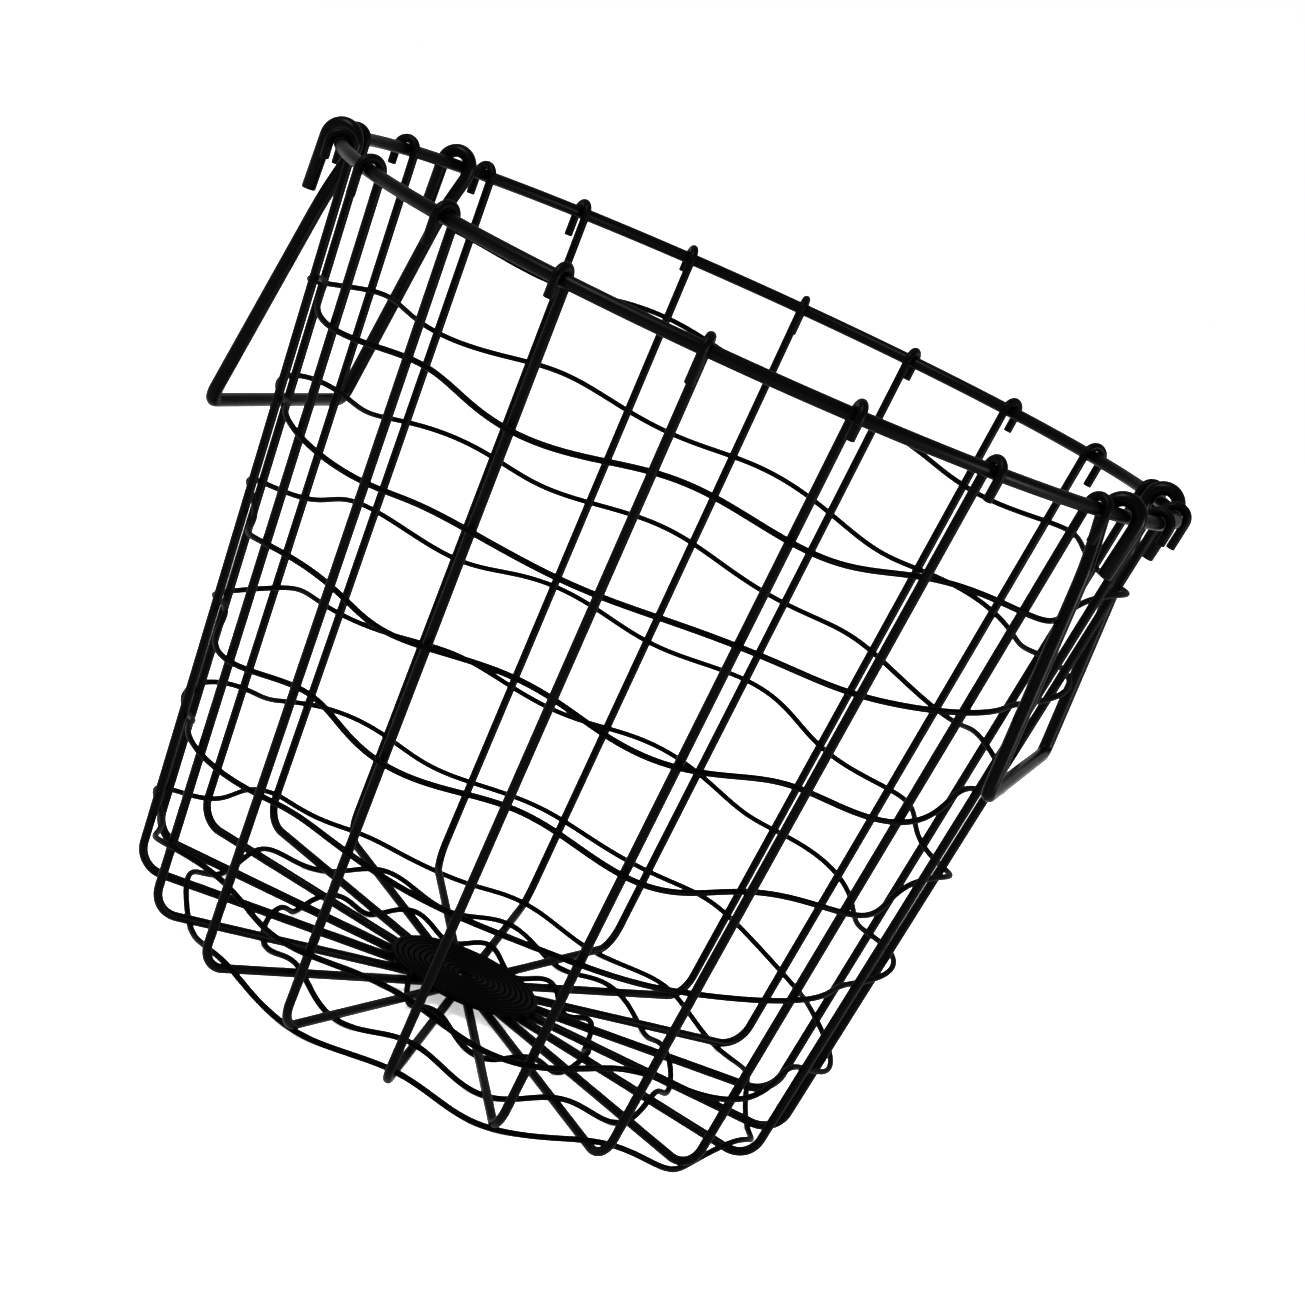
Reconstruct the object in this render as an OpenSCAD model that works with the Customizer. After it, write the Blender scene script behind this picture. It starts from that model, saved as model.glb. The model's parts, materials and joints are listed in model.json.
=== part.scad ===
// Woven wire basket for collecting eggs, with two swing handles.
// Twenty upright wires, the ribs, hook over a thick rim hoop, run down the
// tapering wall, bend in under the base and end beside each other around its
// middle. One thin wire, the weaver, starts as a flat coil on the middle of
// the base and spirals out and up, over one rib and under the next. Two
// U-shaped handles hook round the rim and hang down outside.
// The origin is the middle of the base, +Z is up, and the handles are on +X
// and -X.

/* [Basket] */
// Radius of the rim hoop, to the middle of its wire
rim_r = 150; // [145:1:158]
// Height of the rim hoop, to the middle of its wire
rim_z = 254; // [235:1:270]
// Radius at which the lines of the wall and the base meet
base_r = 120; // [115:1:124]
// Radius of the bend from the base into the wall
bend_r = 10; // [8:1:14]

/* [Wires] */
// Diameter of the rim wire
rim_d = 4.5; // [4:0.1:4.8]
// Diameter of the rib wires
rib_d = 3.1; // [2.4:0.1:3.3]
// Diameter of the weaver
weaver_d = 2; // [1.6:0.1:2]
// Diameter of the handle wire
handle_d = 4.8; // [4:0.1:4.9]
// Gap left between two wires that lie against each other
wire_gap = 0.1; // [0.05:0.05:0.2]

/* [Ribs] */
// Number of ribs
rib_count = 20; // [20]
// Radius at which the ribs end, around the middle of the base
rib_start_r = 12; // [11:0.5:16]
// Average length of the open end of each rib, below the middle of the rim
rib_tail = 8; // [6:1:12]
// How much longer or shorter the open ends are than that
tail_spread = 2.5; // [0:0.5:4]

/* [Weaver] */
// Distance between the turns of the flat coil
coil_pitch = 2.1; // [2.1:0.1:2.5]
// Radius of the first point of the flat coil
coil_start_r = 2.2; // [2:0.2:4]
// Number of turns in the flat coil
coil_turns = 12; // [11:0.5:12]
// How far the weaver steps out as it leaves the coil
first_step = 10.7; // [8:0.1:11]
// Distance between the turns on the base
base_pitch = 31.3; // [30:0.1:32]
// Number of turns that lie on the base
base_turns = 2.3; // [2:0.1:2.5]
// Distance between the turns on the wall, measured along a rib
wall_pitch = 37.3; // [36:0.1:37.5]
// Number of turns in the whole spiral, after the coil
open_turns = 8.75; // [8:0.05:8.75]
// Slack that the weaver has round each rib of the wall
weave_slack = 1; // [0:0.1:1.2]
// How far the first turn sits off centre, towards -Y
base_lean = 15.6; // [6:0.2:16]
// Number of turns over which the spiral comes back to the centre
lean_turns = 5.5; // [4:0.1:6]
// How far the turns near the rim sit off level
rim_lean = 1.1; // [0:0.1:2]
// How far the turns on the wall rise at two sides and dip between them
saddle_h = 2.2; // [0:0.1:2.4]
// Height of the short waves, from the middle of the wire
wave_h = 2.2; // [0:0.1:2.4]
// Angle round the basket that one short wave takes
wave_turn = 38.6; // [34:0.2:42]
// Height of the long waves, from the middle of the wire
swell_h = 1.6; // [0:0.1:1.8]
// Angle round the basket that one long wave takes
swell_turn = 92.1; // [80:0.1:120]

/* [Handles] */
// Half the distance between the two hooks of a handle
hook_y = 54; // [50:0.5:56]
// Radius of the hook round the rim, to the middle of its wire
hook_r = 5.3; // [5.3:0.1:6]
// Length of the open end of each hook, below the middle of the rim
hook_tail = 19; // [15:1:20]
// How much wider the handle gets on each side towards its grip
grip_flare = 3; // [0:0.5:4]
// Depth of the handle, from the middle of the rim to the middle of the grip
handle_drop = 95.5; // [80:0.5:100]
// How far the grip is outside the middle of the rim
grip_out = 6.3; // [6:0.1:9]
// Radius of the bend at each end of the grip
grip_bend_r = 5; // [4:1:14]
// How far the right handle has swung in towards the wall, in degrees
right_lean = 3.4; // [0:0.1:3.8]

/* [Hidden] */

wire_color = [0.06, 0.06, 0.065];

// Flat sides round each wire, and straight steps along each bend
rim_facets = 180;
rim_sides = 24;
rib_sides = 6;
rib_hook_steps = 8;
rib_bend_steps = 7;
weaver_sides = 6;
handle_sides = 8;
handle_hook_steps = 10;
grip_bend_steps = 6;

// The ribs' own profile: base line, bend, wall line and hook, in the plane
// of one rib, with r measured from the basket's axis.
rib_step = 360 / rib_count;
first_rib = rib_step / 2;
rib_z = weaver_d + wire_gap + rib_d / 2;
tail_turn = 140;
rib_hook_r = (rim_d + rib_d) / 2 + wire_gap;
rim_rise = rim_z - rib_z;
rim_run = rim_r - base_r;
rim_far = norm([rim_run, rim_rise]);
wall_angle = atan2(rim_rise, rim_run) + asin(rib_hook_r / rim_far);
bend_cut = bend_r * tan(wall_angle / 2);
base_len = base_r - bend_cut;
bend_len = bend_r * wall_angle * PI / 180;
bend_end = [
    base_len + bend_r * sin(wall_angle),
    rib_z + bend_r * (1 - cos(wall_angle))
];

// The weaver's course: its distance off the ribs, the wire length or turn
// angle from one of its points to the next, and where its parts begin and end
weave_d = (rib_d + weaver_d) / 2 + wire_gap;
coil_step = 4;
coil_step_turn = 30;
open_step = rib_step / 4;
coil_end_rib = 14;
coil_end_turn = first_rib + (coil_end_rib - 1) * rib_step;
open_end_turn = coil_end_turn + 360 * open_turns;
end_past_rib = 3;

// How the weaver dips at its end, how long its step and its first waves take
// to grow, and the turn angles and places of its lean, saddle and waves
dip_h = 5;
dip_turns = 0.25;
step_span = 60;
wave_span = 120;
lean_turn = 282;
lean_drift = 2.8;
saddle_turn = 18;
saddle_from = 90;
saddle_rise = 60;
wave_start = 115;
swell_start = 87;

// The handle's pivot: the chord through its two hooks, at the rim's height
pivot_x = sqrt(pow(rim_r, 2) - pow(hook_y, 2));

// Each leg of a handle, outward and upward from the pivot: where its straight
// top ends, its knee, and how far its open end leans in
leg_top = [-hook_r, -3];
leg_knee = [-2, -18];
tail_in = 1.2;

function unit(v) = v / norm(v);
function clamp(v, low, high) = min(max(v, low), high);

// Direction of a path at point i
function heading(path, i) =
    unit(path[min(i + 1, len(path) - 1)] - path[max(i - 1, 0)]);

// Reference directions carried along a path without twisting
function sideways(path, start) = [
    for (
        i = 0, t = heading(path, 0), v = unit(start - (start * t) * t);
        i < len(path);
        i = i + 1,
        t = heading(path, min(i, len(path) - 1)),
        v = unit(v - (v * t) * t)
    ) v
];

// Points of an arc in a plane: [centre + radius * (cos, sin)] for the angles
function arc(centre, radius, from, to, steps) = [
    for (i = [0 : steps])
        let (a = from + (to - from) * i / steps)
        centre + radius * [cos(a), sin(a)]
];

// Round wire of diameter d along a path
module wire(path, d, sides, start) {
    count = len(path);
    across = sideways(path, start);
    rings = [
        for (i = [0 : count - 1])
            let (side = across[i], other = cross(heading(path, i), side))
            for (k = [0 : sides - 1])
                let (a = 360 * k / sides)
                path[i] + d / 2 * (cos(a) * side + sin(a) * other)
    ];
    skin = [
        for (i = [0 : count - 2], k = [0 : sides - 1])
            let (
                next = (k + 1) % sides,
                a = i * sides + k,
                b = i * sides + next
            )
            each [[a, a + sides, b + sides], [a, b + sides, b]]
    ];
    first_cap = [for (k = [0 : sides - 1]) k];
    last_cap = [for (k = [sides - 1 : -1 : 0]) (count - 1) * sides + k];
    polyhedron(rings, concat([first_cap], skin, [last_cap]));
}

// Point [r, z] of the ribs' profile at distance s from the axis, and the
// profile's slope there
function profile(s) =
    s < base_len ? [s, rib_z]
    : s < base_len + bend_len ? bend_point((s - base_len) / bend_r * 180 / PI)
    : bend_end + (s - base_len - bend_len) * [cos(wall_angle), sin(wall_angle)];
function bend_point(a) =
    [base_len + bend_r * sin(a), rib_z + bend_r * (1 - cos(a))];
function slope(s) = clamp((s - base_len) / bend_len, 0, 1) * wall_angle;

// One rib, from its end in the base to its open end outside the rim
module rib(index) {
    centre = [rim_r, rim_z];
    hook = arc(centre, rib_hook_r, wall_angle + 90, wall_angle - 90, rib_hook_steps);
    tail = rib_tail + tail_spread * sin(index * tail_turn);
    flat = concat(
        [[rib_start_r, rib_z]],
        arc([base_len, rib_z + bend_r], bend_r, -90, wall_angle - 90, rib_bend_steps),
        hook,
        [hook[rib_hook_steps] - tail * [cos(wall_angle), sin(wall_angle)]]
    );
    path = [for (p = flat) [p[0], 0, p[1]]];
    color(wire_color)
        rotate([0, 0, first_rib + (index - 1) * rib_step])
            wire(path, rib_d, rib_sides, [0, 1, 0]);
}

// Hoop at the top, which the ribs and handles hook over
module rim_hoop() {
    color(wire_color)
        translate([0, 0, rim_z])
            rotate_extrude($fn = rim_facets)
                translate([rim_r, 0])
                    circle(d = rim_d, $fn = rim_sides);
}

// How far the open spiral is into its first turns at the given turn: 0 where
// the coil ends, and 1 once it has gone on for the angle span
function settled(turn, span) = clamp((turn - coil_end_turn) / span, 0, 1);

// Distance of the open spiral from the axis, along a rib, at the given turn:
// an even spiral, set off centre, bent into a saddle and waved, with its end
// dipping a little
function spiral_reach(turn) =
    let (
        past = turn - coil_end_turn,
        turns = past / 360,
        coil_edge = coil_start_r + coil_pitch * coil_turns,
        start = coil_edge + first_step * settled(turn, step_span),
        on_base = base_pitch * min(turns, base_turns),
        on_wall = wall_pitch * max(turns - base_turns, 0),
        reach = start + on_base + on_wall,
        lean = max(rim_lean, base_lean * (1 - turns / lean_turns)),
        shift = lean * cos(turn - lean_turn + lean_drift * turns),
        saddle = saddle_h * cos(2 * (turn - saddle_turn)),
        short = wave_h * cos(360 * past / wave_turn + wave_start),
        long = swell_h * cos(360 * past / swell_turn + swell_start),
        dip = dip_h * clamp((turns - open_turns) / dip_turns + 1, 0, 1)
    )
    reach + settled(turn, step_span) * shift
        + clamp((reach - saddle_from) / saddle_rise, 0, 1) * saddle
        + settled(turn, wave_span) * min(reach / base_len, 1) * (short + long)
        - dip;

// Point of the weaver: s along a rib, turned to the angle a, and side times
// its full distance off the ribs, with 1 the inside and -1 the outside
function weave_point(s, a, side) =
    let (
        p = profile(s),
        lift = side * (weave_d + weave_slack * slope(s) / wall_angle),
        r = p[0] - lift * sin(slope(s)),
        z = p[1] + lift * cos(slope(s))
    )
    [r * cos(a), r * sin(a), z];

// Turn angles of the flat coil, one every coil_step of wire
function coil_angles() = [
    for (
        a = coil_end_turn - 360 * coil_turns;
        a < coil_end_turn - open_step / 2;
        a = a + min(coil_step / coil_reach(a) * 180 / PI, coil_step_turn)
    ) a
];
function coil_reach(a) =
    coil_start_r + coil_pitch * (coil_turns + (a - coil_end_turn) / 360);

// Thin wire coiled on the middle of the base and woven up through the ribs
module weaver() {
    coil = [for (a = coil_angles()) weave_point(coil_reach(a), a, 1)];
    turns = [for (a = [coil_end_turn : open_step : open_end_turn]) a];
    open = [
        for (a = concat(turns, [open_end_turn + end_past_rib]))
            weave_point(spiral_reach(a), a, cos(180 / rib_step * (a - coil_end_turn)))
    ];
    color(wire_color)
        wire(concat(coil, open), weaver_d, weaver_sides, [0, 0, 1]);
}

// One leg of a handle, seen along the basket's rim: the open end outside,
// over the rim to the inside, and out again under the rim towards the grip
function leg_outline() =
    concat(
        [[hook_r - tail_in, -hook_tail]],
        arc([0, 0], hook_r, 0, 180, handle_hook_steps),
        [leg_top, leg_knee]
    );

// Handle hanging on the +X side, swung in towards the wall by lean
module handle(lean) {
    grip_y = hook_y + grip_flare;
    bend_z = grip_bend_r - handle_drop;
    near = [for (p = leg_outline()) [p[0], -hook_y, p[1]]];
    corner = arc([-grip_y + grip_bend_r, bend_z], grip_bend_r, 180, 270, grip_bend_steps);
    near_corner = [for (p = corner) [grip_out, p[0], p[1]]];
    first_half = concat(near, near_corner);
    last = len(first_half) - 1;
    second_half = [
        for (i = [last : -1 : 0])
            [first_half[i][0], -first_half[i][1], first_half[i][2]]
    ];
    translate([pivot_x, 0, rim_z])
        rotate([0, lean, 0])
            wire(concat(first_half, second_half), handle_d, handle_sides, [0, 1, 0]);
}

module right_handle() {
    color(wire_color) handle(right_lean);
}

module left_handle() {
    color(wire_color) rotate([0, 0, 180]) handle(0);
}

rim_hoop();
weaver();
left_handle();
right_handle();
rib(1);  // rib_01
rib(2);  // rib_02
rib(3);  // rib_03
rib(4);  // rib_04
rib(5);  // rib_05
rib(6);  // rib_06
rib(7);  // rib_07
rib(8);  // rib_08
rib(9);  // rib_09
rib(10);  // rib_10
rib(11);  // rib_11
rib(12);  // rib_12
rib(13);  // rib_13
rib(14);  // rib_14
rib(15);  // rib_15
rib(16);  // rib_16
rib(17);  // rib_17
rib(18);  // rib_18
rib(19);  // rib_19
rib(20);  // rib_20
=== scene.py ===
"""Looks of the woven wire egg basket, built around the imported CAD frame.

Each wire of the basket becomes a smooth round wire that follows the course of
its CAD node, with trimmed ends and a black coating. Lengths are in metres.
"""

import json
import math

import bpy
from mathutils import Matrix, Vector


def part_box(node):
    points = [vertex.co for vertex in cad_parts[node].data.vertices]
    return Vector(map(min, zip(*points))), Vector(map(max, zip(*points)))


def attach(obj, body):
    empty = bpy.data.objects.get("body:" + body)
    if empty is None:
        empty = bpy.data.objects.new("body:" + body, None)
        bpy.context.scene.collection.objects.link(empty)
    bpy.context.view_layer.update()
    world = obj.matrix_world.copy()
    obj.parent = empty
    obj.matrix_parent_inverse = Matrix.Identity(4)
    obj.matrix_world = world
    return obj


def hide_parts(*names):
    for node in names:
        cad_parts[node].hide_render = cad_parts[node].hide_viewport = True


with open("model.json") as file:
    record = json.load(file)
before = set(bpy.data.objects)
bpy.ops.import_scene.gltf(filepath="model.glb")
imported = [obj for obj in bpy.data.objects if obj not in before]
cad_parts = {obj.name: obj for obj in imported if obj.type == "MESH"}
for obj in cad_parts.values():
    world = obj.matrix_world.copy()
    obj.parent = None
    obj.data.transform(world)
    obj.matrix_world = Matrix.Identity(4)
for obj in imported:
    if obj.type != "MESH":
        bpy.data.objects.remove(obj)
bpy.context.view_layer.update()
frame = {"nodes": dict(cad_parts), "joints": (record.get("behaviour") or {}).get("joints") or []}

MM = 0.001
UP = Vector((0, 0, 1))

# ---------------------------------------------------------------- dimensions
# The hoop, the ribs and the handles' pivots are measured on the frame.
rim_low, rim_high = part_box("rim_hoop")
RIM_D = rim_high[2] - rim_low[2]
RIM_R = (rim_high[0] - rim_low[0] - RIM_D) / 2
RIM_Z = (rim_high[2] + rim_low[2]) / 2
RIBS = sorted(name for name in frame["nodes"] if name.startswith("rib_"))
RIB_STEP = 2 * math.pi / len(RIBS)
FIRST_RIB = RIB_STEP / 2
PIVOTS = {joint["child"]: Vector(joint["pos_m"]) for joint in frame["joints"]}

# The rest repeats the driving values of the CAD model: first the wires
RIB_D = 3.1 * MM
WEAVER_D = 2 * MM
HANDLE_D = 4.8 * MM
WIRE_GAP = 0.1 * MM

# The ribs' profile and their open ends
BASE_R = 120 * MM
BEND_R = 10 * MM
RIB_START_R = 12 * MM
RIB_TAIL = 8 * MM
TAIL_SPREAD = 2.5 * MM
TAIL_TURN = math.radians(140)

# The weaver: coil, open turns, dip at its end, lean, saddle and two waves
COIL_PITCH = 2.1 * MM
COIL_START_R = 2.2 * MM
COIL_TURNS = 12
FIRST_STEP = 10.7 * MM
BASE_PITCH = 31.3 * MM
BASE_TURNS = 2.3
WALL_PITCH = 37.3 * MM
OPEN_TURNS = 8.75
DIP_H = 5 * MM
DIP_TURNS = 0.25
WEAVE_SLACK = 1 * MM
STEP_SPAN = math.radians(60)
WAVE_SPAN = math.radians(120)
BASE_LEAN = 15.6 * MM
LEAN_TURNS = 5.5
RIM_LEAN = 1.1 * MM
LEAN_TURN = math.radians(282)
LEAN_DRIFT = math.radians(2.8)
SADDLE_H = 2.2 * MM
SADDLE_TURN = math.radians(18)
SADDLE_FROM = 90 * MM
SADDLE_RISE = 60 * MM
WAVE_H = 2.2 * MM
WAVE_TURN = math.radians(38.6)
WAVE_START = math.radians(115)
SWELL_H = 1.6 * MM
SWELL_TURN = math.radians(92.1)
SWELL_START = math.radians(87)

# The handles: hook, leg and grip, and how far the right one leans in
HOOK_R = 5.3 * MM
HOOK_TAIL = 19 * MM
TAIL_IN = 1.2 * MM
LEG_TOP = Vector((-HOOK_R, -3 * MM))
LEG_KNEE = Vector((-2 * MM, -18 * MM))
KNEE_R = 8 * MM
HANDLE_DROP = 95.5 * MM
GRIP_OUT = 6.3 * MM
GRIP_FLARE = 3 * MM
GRIP_BEND_R = 5 * MM
RIGHT_LEAN = math.radians(3.4)

# Flat sides round each wire, and straight steps along each bend
RIM_STEPS = 360
RIM_SIDES = 20
RIB_SIDES = 16
RIB_HOOK_STEPS = 24
RIB_BEND_STEPS = 20
WEAVER_SIDES = 12
HANDLE_SIDES = 20
HANDLE_HOOK_STEPS = 24
CORNER_STEPS = 8

# How much of a wire's radius is trimmed off round the edge of its cut ends
TRIM_SHARE = 0.25

# Light and floor, bright enough for the basket to stand in plain white
WORLD_STRENGTH = 1
FLOOR_HALF = 6
FLOOR_TINT = 0.9
FLOOR_ROUGHNESS = 0.9
FLOOR_GLOW = 0.65
PICTURE_GAMMA = 0.62

# Camera: where it stands round the middle of the basket, its roll and its lens
AIM = Vector((0, 0, RIM_Z / 2))
CAMERA_AZIMUTH = 12.708
CAMERA_ELEVATION = 11.399
CAMERA_ROLL = math.radians(24.568)
CAMERA_DISTANCE = 991.75 * MM
CAMERA_ACROSS = 15.79 * MM
CAMERA_RISE = 5.074 * MM
SENSOR_W = 36
LENS = 80.54

# Profile of a rib in its own plane: base line, bend, wall line, hook
RIB_Z = WEAVER_D + WIRE_GAP + RIB_D / 2
RIB_HOOK_R = (RIM_D + RIB_D) / 2 + WIRE_GAP
RIM_FAR = math.hypot(RIM_R - BASE_R, RIM_Z - RIB_Z)
WALL_ANGLE = math.atan2(RIM_Z - RIB_Z, RIM_R - BASE_R) + math.asin(RIB_HOOK_R / RIM_FAR)
BASE_LEN = BASE_R - BEND_R * math.tan(WALL_ANGLE / 2)
BEND_LEN = BEND_R * WALL_ANGLE
WALL_RUN = Vector((math.cos(WALL_ANGLE), math.sin(WALL_ANGLE)))

# Course of the weaver
WEAVE_D = (RIB_D + WEAVER_D) / 2 + WIRE_GAP
COIL_STEP = 2 * MM
COIL_STEP_TURN = math.radians(15)
OPEN_STEP = RIB_STEP / 16
COIL_END_RIB = 14
COIL_END_TURN = FIRST_RIB + (COIL_END_RIB - 1) * RIB_STEP
END_PAST_RIB = math.radians(3)
WEAVER_TURN = 2 * math.pi * OPEN_TURNS + END_PAST_RIB


# ---------------------------------------------------------------- wire making
def clamp(value, low, high):
    """The value, kept between low and high."""
    return min(max(value, low), high)


def arc(centre, radius, start, end, steps):
    """Points of an arc in a plane."""
    turns = [start + (end - start) * i / steps for i in range(steps + 1)]
    return [centre + radius * Vector((math.cos(a), math.sin(a))) for a in turns]


def rounded(path, radii, steps):
    """The path with its inner corners rounded off, each by about its own radius."""
    points = [path[0]]
    for before, corner, after, radius in zip(path, path[1:], path[2:], radii):
        reach_in = min(radius, (before - corner).length / 2)
        reach_out = min(radius, (after - corner).length / 2)
        first = corner + reach_in * (before - corner).normalized()
        last = corner + reach_out * (after - corner).normalized()
        for i in range(steps + 1):
            t = i / steps
            points.append((1 - t) ** 2 * first + 2 * t * (1 - t) * corner + t * t * last)
    points.append(path[-1])
    return points


def heading(path, i, closed):
    """Direction of a path at its point i."""
    count = len(path)
    if closed:
        return (path[(i + 1) % count] - path[i - 1]).normalized()
    return (path[min(i + 1, count - 1)] - path[max(i - 1, 0)]).normalized()


def trimmed(path, radius):
    """The path with extra points near its two ends, and the wire's radius at each."""
    trim = TRIM_SHARE * radius
    start = (path[1] - path[0]).normalized()
    end = (path[-2] - path[-1]).normalized()
    edge = 1 - math.sqrt(0.5)
    head = [path[0], path[0] + edge * trim * start, path[0] + trim * start]
    tail = [path[-1] + trim * end, path[-1] + edge * trim * end, path[-1]]
    radii = [radius - trim, radius - edge * trim, radius]
    return head + path[1:-1] + tail, radii + [radius] * (len(path) - 2) + radii[::-1]


def wire(name, path, diameter, sides, start, closed=False):
    """A round wire along a path, as a mesh object."""
    radii = [diameter / 2] * len(path)
    if not closed:
        path, radii = trimmed(path, diameter / 2)
    side = start
    verts = []
    for i, point in enumerate(path):
        ahead = heading(path, i, closed)
        side = (side - side.dot(ahead) * ahead).normalized()
        other = ahead.cross(side)
        for k in range(sides):
            a = 2 * math.pi * k / sides
            verts.append(point + radii[i] * (math.cos(a) * side + math.sin(a) * other))
    faces = []
    for i in range(len(path) if closed else len(path) - 1):
        low = i * sides
        high = (i + 1) % len(path) * sides
        for k in range(sides):
            beside = (k + 1) % sides
            faces.append((low + k, low + beside, high + beside, high + k))
    smooth = [True] * len(faces)
    if not closed:
        faces.append(tuple(range(sides - 1, -1, -1)))
        faces.append(tuple((len(path) - 1) * sides + k for k in range(sides)))
        smooth += [False, False]
    mesh = bpy.data.meshes.new(name)
    mesh.from_pydata([tuple(v) for v in verts], [], faces)
    mesh.polygons.foreach_set("use_smooth", smooth)
    mesh.update()
    piece = bpy.data.objects.new(name, mesh)
    bpy.context.scene.collection.objects.link(piece)
    return piece


# ---------------------------------------------------------------- rib course
def bend_point(a):
    """Point of the bend from the base into the wall, a radians into it."""
    return Vector((BASE_LEN + BEND_R * math.sin(a), RIB_Z + BEND_R * (1 - math.cos(a))))


def profile(s):
    """Point (r, z) of the ribs' profile at distance s from the axis."""
    if s < BASE_LEN:
        return Vector((s, RIB_Z))
    if s < BASE_LEN + BEND_LEN:
        return bend_point((s - BASE_LEN) / BEND_R)
    return bend_point(WALL_ANGLE) + (s - BASE_LEN - BEND_LEN) * WALL_RUN


def slope(s):
    """Slope of the ribs' profile at distance s from the axis."""
    return clamp((s - BASE_LEN) / BEND_LEN, 0, 1) * WALL_ANGLE


def rib_path(index):
    """Course of one rib, from its end in the base to its open end, and the rib's turn angle."""
    inward = WALL_ANGLE + math.pi / 2
    outward = WALL_ANGLE - math.pi / 2
    hook = arc(Vector((RIM_R, RIM_Z)), RIB_HOOK_R, inward, outward, RIB_HOOK_STEPS)
    tail = RIB_TAIL + TAIL_SPREAD * math.sin(index * TAIL_TURN)
    bend_centre = Vector((BASE_LEN, RIB_Z + BEND_R))
    bend = arc(bend_centre, BEND_R, -math.pi / 2, outward, RIB_BEND_STEPS)
    flat = [Vector((RIB_START_R, RIB_Z))] + bend + hook + [hook[-1] - tail * WALL_RUN]
    turn = FIRST_RIB + (index - 1) * RIB_STEP
    return [Vector((p.x * math.cos(turn), p.x * math.sin(turn), p.y)) for p in flat], turn


# ---------------------------------------------------------------- weaver course
def coil_reach(a):
    """Distance of the flat coil from the axis at the turn angle a."""
    return COIL_START_R + COIL_PITCH * (COIL_TURNS + (a - COIL_END_TURN) / (2 * math.pi))


def coil_angles():
    """Turn angles of the flat coil, one every step of wire."""
    angles = []
    a = COIL_END_TURN - 2 * math.pi * COIL_TURNS
    while a < COIL_END_TURN - OPEN_STEP / 2:
        angles.append(a)
        a += min(COIL_STEP / coil_reach(a), COIL_STEP_TURN)
    return angles


def settled(a, span):
    """How far the open spiral is into its first turns: 0 at the coil, 1 after the angle span."""
    return clamp((a - COIL_END_TURN) / span, 0, 1)


def spiral_reach(a):
    """Distance of the open spiral from the axis, along a rib, at the turn angle a."""
    past = a - COIL_END_TURN
    turns = past / (2 * math.pi)
    start = COIL_START_R + COIL_PITCH * COIL_TURNS + FIRST_STEP * settled(a, STEP_SPAN)
    on_base = BASE_PITCH * min(turns, BASE_TURNS)
    on_wall = WALL_PITCH * max(turns - BASE_TURNS, 0)
    reach = start + on_base + on_wall
    lean = max(RIM_LEAN, BASE_LEAN * (1 - turns / LEAN_TURNS))
    shift = settled(a, STEP_SPAN) * lean * math.cos(a - LEAN_TURN + LEAN_DRIFT * turns)
    saddle = SADDLE_H * math.cos(2 * (a - SADDLE_TURN))
    saddle *= clamp((reach - SADDLE_FROM) / SADDLE_RISE, 0, 1)
    short = WAVE_H * math.cos(2 * math.pi * past / WAVE_TURN + WAVE_START)
    long = SWELL_H * math.cos(2 * math.pi * past / SWELL_TURN + SWELL_START)
    waves = settled(a, WAVE_SPAN) * min(reach / BASE_LEN, 1) * (short + long)
    dip = DIP_H * clamp((turns - OPEN_TURNS) / DIP_TURNS + 1, 0, 1)
    return reach + shift + saddle + waves - dip


def weave_point(s, a, side):
    """Point at distance s along a rib, turned to angle a, inside (1) or outside (-1) the ribs."""
    p = profile(s)
    lift = side * (WEAVE_D + WEAVE_SLACK * slope(s) / WALL_ANGLE)
    r = p.x - lift * math.sin(slope(s))
    return Vector((r * math.cos(a), r * math.sin(a), p.y + lift * math.cos(slope(s))))


def weaver_path():
    """Course of the weaver: a flat coil, then waves over one rib and under the next."""
    path = [weave_point(coil_reach(a), a, 1) for a in coil_angles()]
    steps = round(WEAVER_TURN / OPEN_STEP)
    for i in range(steps + 1):
        past = WEAVER_TURN * i / steps
        a = COIL_END_TURN + past
        path.append(weave_point(spiral_reach(a), a, math.cos(math.pi / RIB_STEP * past)))
    return path


# ---------------------------------------------------------------- handle course
def handle_path(name, outward, lean):
    """Course of a handle from one open end to the other, outside the rim and round it."""
    pivot = PIVOTS[name]
    hook_y = math.sqrt(RIM_R**2 - pivot.x**2)
    hook = arc(Vector((0, 0)), HOOK_R, 0, math.pi, HANDLE_HOOK_STEPS)
    leg = [Vector((HOOK_R - TAIL_IN, -HOOK_TAIL))] + hook
    near = [Vector((p.x, -hook_y, p.y)) for p in leg]
    knee = [
        Vector((LEG_TOP.x, -hook_y, LEG_TOP.y)),
        Vector((LEG_KNEE.x, -hook_y, LEG_KNEE.y)),
        Vector((GRIP_OUT, -hook_y - GRIP_FLARE, -HANDLE_DROP)),
        Vector((GRIP_OUT, 0, -HANDLE_DROP)),
    ]
    near += rounded(knee, (KNEE_R, GRIP_BEND_R), CORNER_STEPS)[:-1]
    far = [Vector((p.x, -p.y, p.z)) for p in reversed(near)]
    swung = Matrix.Rotation(lean, 3, "Y")
    turned = Matrix.Rotation(0 if outward > 0 else math.pi, 3, "Z")
    return [pivot + turned @ (swung @ p) for p in near + far]


# ---------------------------------------------------------------- materials
BLACK = (0.0012, 0.0012, 0.0013)
DEEP_BLACK = (0.0006, 0.0006, 0.0007)
TINT_RANGE = (0.6, 1.4)
GLOSS_SPREAD = 0.08
CLOUD_SCALE = 60
CLOUD_DETAIL = 4
GRAIN_SCALE = 1400
GRAIN_DETAIL = 2
GRAIN_STRENGTH = 0.25
GRAIN_H = 0.08 * MM


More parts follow.
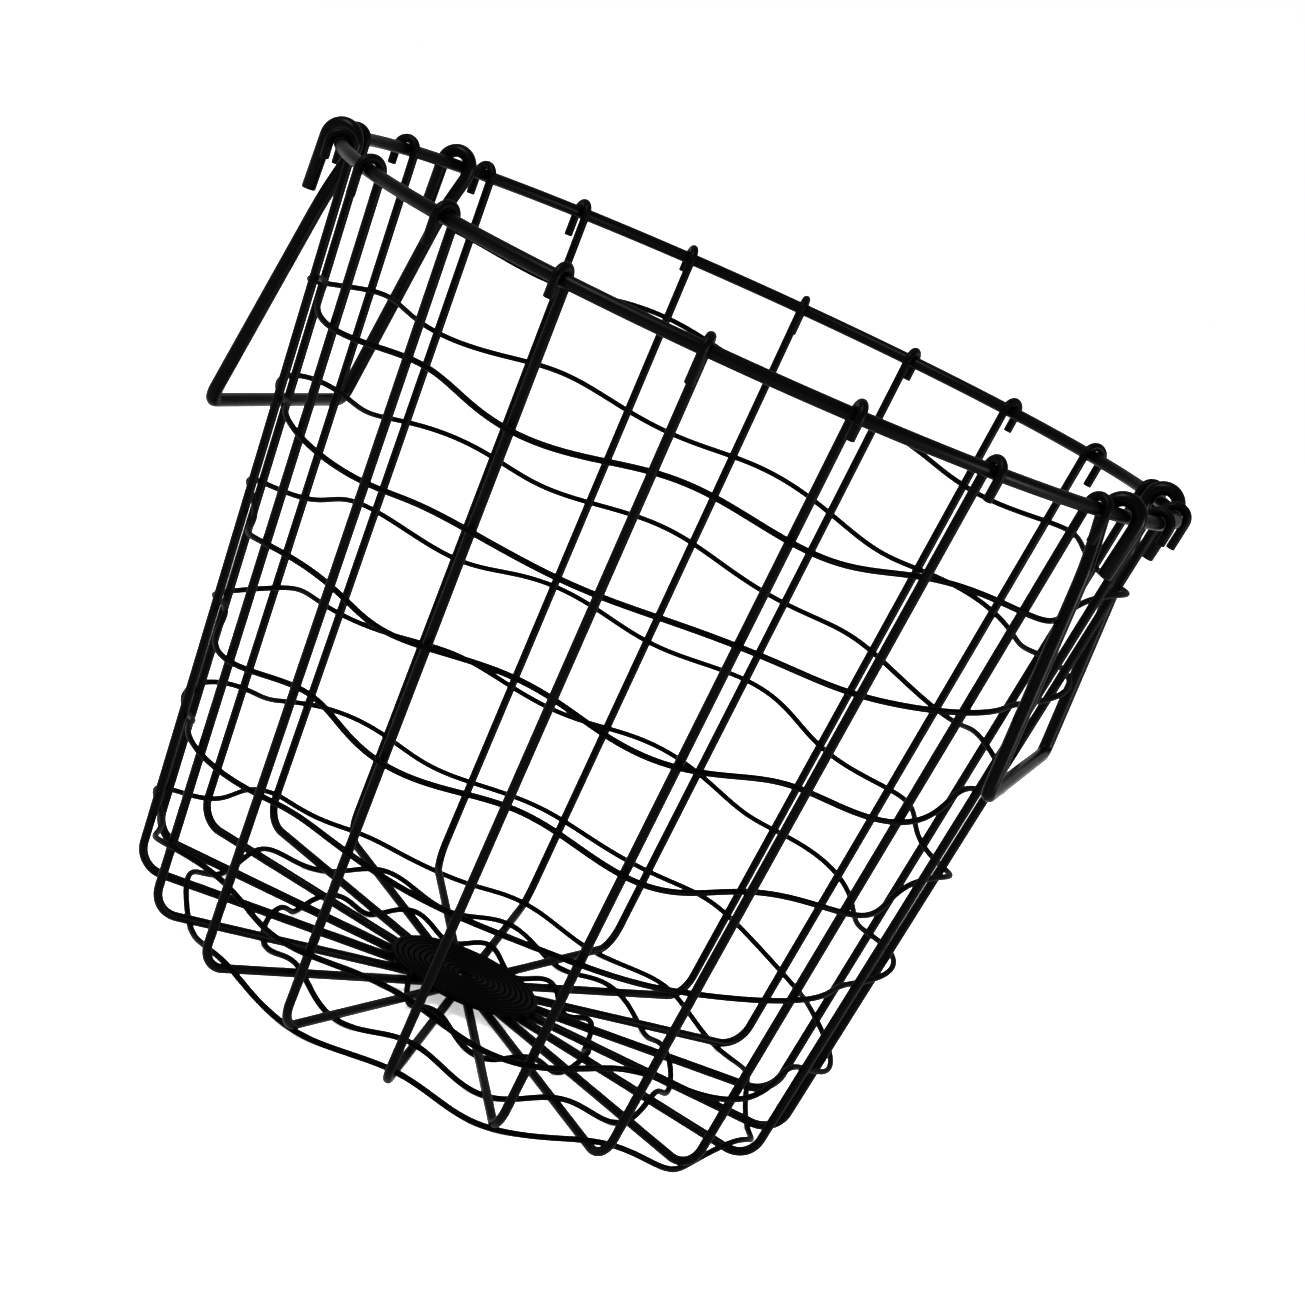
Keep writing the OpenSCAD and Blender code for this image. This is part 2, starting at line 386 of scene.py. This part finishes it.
def coated_wire(name, tint, shine, roughness):
    """Black baked coating on steel wire: slightly uneven in colour, gloss and surface."""
    material = bpy.data.materials.new(name)
    material.use_nodes = True
    nodes = material.node_tree.nodes
    links = material.node_tree.links
    shader = nodes["Principled BSDF"]
    shader.inputs["Metallic"].default_value = 0
    shader.inputs["Specular IOR Level"].default_value = shine
    place = nodes.new("ShaderNodeTexCoord")

    clouds = nodes.new("ShaderNodeTexNoise")
    clouds.inputs["Scale"].default_value = CLOUD_SCALE
    clouds.inputs["Detail"].default_value = CLOUD_DETAIL
    links.new(place.outputs["Object"], clouds.inputs["Vector"])

    colour = nodes.new("ShaderNodeMixRGB")
    for side, share in zip(("Color1", "Color2"), TINT_RANGE):
        colour.inputs[side].default_value = (*[share * c for c in tint], 1)
    links.new(clouds.outputs["Fac"], colour.inputs["Fac"])
    links.new(colour.outputs["Color"], shader.inputs["Base Color"])

    gloss = nodes.new("ShaderNodeMapRange")
    gloss.inputs["To Min"].default_value = roughness - GLOSS_SPREAD
    gloss.inputs["To Max"].default_value = roughness + GLOSS_SPREAD
    links.new(clouds.outputs["Fac"], gloss.inputs["Value"])
    links.new(gloss.outputs["Result"], shader.inputs["Roughness"])

    grain = nodes.new("ShaderNodeTexNoise")
    grain.inputs["Scale"].default_value = GRAIN_SCALE
    grain.inputs["Detail"].default_value = GRAIN_DETAIL
    links.new(place.outputs["Object"], grain.inputs["Vector"])
    bump = nodes.new("ShaderNodeBump")
    bump.inputs["Strength"].default_value = GRAIN_STRENGTH
    bump.inputs["Distance"].default_value = GRAIN_H
    links.new(grain.outputs["Fac"], bump.inputs["Height"])
    links.new(bump.outputs["Normal"], shader.inputs["Normal"])
    return material


def pale_floor():
    """Plain white floor, bright enough to run into the white around it."""
    material = bpy.data.materials.new("pale_floor")
    material.use_nodes = True
    shader = material.node_tree.nodes["Principled BSDF"]
    shader.inputs["Base Color"].default_value = (FLOOR_TINT, FLOOR_TINT, FLOOR_TINT, 1)
    shader.inputs["Roughness"].default_value = FLOOR_ROUGHNESS
    shader.inputs["Specular IOR Level"].default_value = 0
    shader.inputs["Emission Color"].default_value = (1, 1, 1, 1)
    shader.inputs["Emission Strength"].default_value = FLOOR_GLOW
    return material


def finish_piece(piece, material, node, body):
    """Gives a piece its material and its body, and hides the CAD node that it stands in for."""
    piece.data.materials.append(material)
    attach(piece, body)
    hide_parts(node)


# ---------------------------------------------------------------- the basket
def rim():
    """The hoop at the top."""
    coat = coated_wire("rim_coat", BLACK, 0.12, 0.38)
    angles = [2 * math.pi * i / RIM_STEPS for i in range(RIM_STEPS)]
    circle = [Vector((RIM_R * math.cos(a), RIM_R * math.sin(a), RIM_Z)) for a in angles]
    hoop = wire("rim_hoop_wire", circle, RIM_D, RIM_SIDES, UP, closed=True)
    finish_piece(hoop, coat, "rim_hoop", "basket")


def ribs():
    """The upright wires, hooked over the rim and bent in under the base."""
    coat = coated_wire("rib_coat", BLACK, 0.1, 0.42)
    for number, node in enumerate(RIBS, 1):
        course, facing = rib_path(number)
        beside = Vector((-math.sin(facing), math.cos(facing), 0))
        rib = wire(node + "_wire", course, RIB_D, RIB_SIDES, beside)
        finish_piece(rib, coat, node, "basket")


def weaver():
    """The one thin wire that is coiled on the base and woven up the wall."""
    coat = coated_wire("weaver_coat", DEEP_BLACK, 0.04, 0.46)
    thin = wire("weaver_wire", weaver_path(), WEAVER_D, WEAVER_SIDES, UP)
    finish_piece(thin, coat, "weaver", "basket")


def handles():
    """The two swing handles, each on its own body."""
    coat = coated_wire("handle_coat", BLACK, 0.12, 0.34)
    for node, outward, lean in (("left_handle", -1, 0), ("right_handle", 1, RIGHT_LEAN)):
        course = handle_path(node, outward, lean)
        handle = wire(node + "_wire", course, HANDLE_D, HANDLE_SIDES, Vector((0, 1, 0)))
        finish_piece(handle, coat, node, node)


# ---------------------------------------------------------------- surroundings
def floor():
    """Large flat floor under the basket."""
    signs = ((-1, -1), (1, -1), (1, 1), (-1, 1))
    corners = [(x * FLOOR_HALF, y * FLOOR_HALF, 0) for x, y in signs]
    mesh = bpy.data.meshes.new("floor")
    mesh.from_pydata(corners, [], [(0, 1, 2, 3)])
    ground = bpy.data.objects.new("floor", mesh)
    bpy.context.scene.collection.objects.link(ground)
    mesh.materials.append(pale_floor())


def soft_light(name, azimuth, elevation, distance, size, power):
    """Square studio light that points at the middle of the basket."""
    data = bpy.data.lights.new(name, "AREA")
    data.size = size
    data.energy = power
    lamp = bpy.data.objects.new(name, data)
    bpy.context.scene.collection.objects.link(lamp)
    away = direction(azimuth, elevation)
    lamp.location = AIM + distance * away
    lamp.rotation_euler = away.to_track_quat("Z", "Y").to_euler()


def direction(azimuth, elevation):
    """Direction from the basket towards the given angles, azimuth 0 being the front (-Y)."""
    level = math.cos(math.radians(elevation))
    a = math.radians(azimuth)
    return Vector((math.sin(a) * level, -math.cos(a) * level, math.sin(math.radians(elevation))))


def white_world():
    """Even white light from all round."""
    world = bpy.data.worlds.new("white")
    world.use_nodes = True
    backdrop = world.node_tree.nodes["Background"]
    backdrop.inputs["Color"].default_value = (1, 1, 1, 1)
    backdrop.inputs["Strength"].default_value = WORLD_STRENGTH
    bpy.context.scene.world = world


def camera():
    """Camera slightly above the rim's front edge, rolled so that the basket leans right."""
    back = direction(CAMERA_AZIMUTH, CAMERA_ELEVATION)
    right = UP.cross(back).normalized()
    above = back.cross(right)
    right_side = math.cos(CAMERA_ROLL) * right + math.sin(CAMERA_ROLL) * above
    top_side = math.cos(CAMERA_ROLL) * above - math.sin(CAMERA_ROLL) * right
    place = AIM + CAMERA_DISTANCE * back + CAMERA_ACROSS * right_side + CAMERA_RISE * top_side
    data = bpy.data.cameras.new("camera")
    data.sensor_width = SENSOR_W
    data.lens = LENS
    view = bpy.data.objects.new("camera", data)
    bpy.context.scene.collection.objects.link(view)
    facing = Matrix((right_side, top_side, back)).transposed().to_4x4()
    view.matrix_world = Matrix.Translation(place) @ facing
    bpy.context.scene.camera = view


rim()
ribs()
weaver()
handles()
floor()
white_world()
soft_light("key_light", azimuth=-35, elevation=50, distance=1.6, size=0.6, power=30)
soft_light("side_light", azimuth=80, elevation=5, distance=1.4, size=0.4, power=22)
camera()
bpy.context.scene.view_settings.view_transform = "Standard"
bpy.context.scene.view_settings.gamma = PICTURE_GAMMA
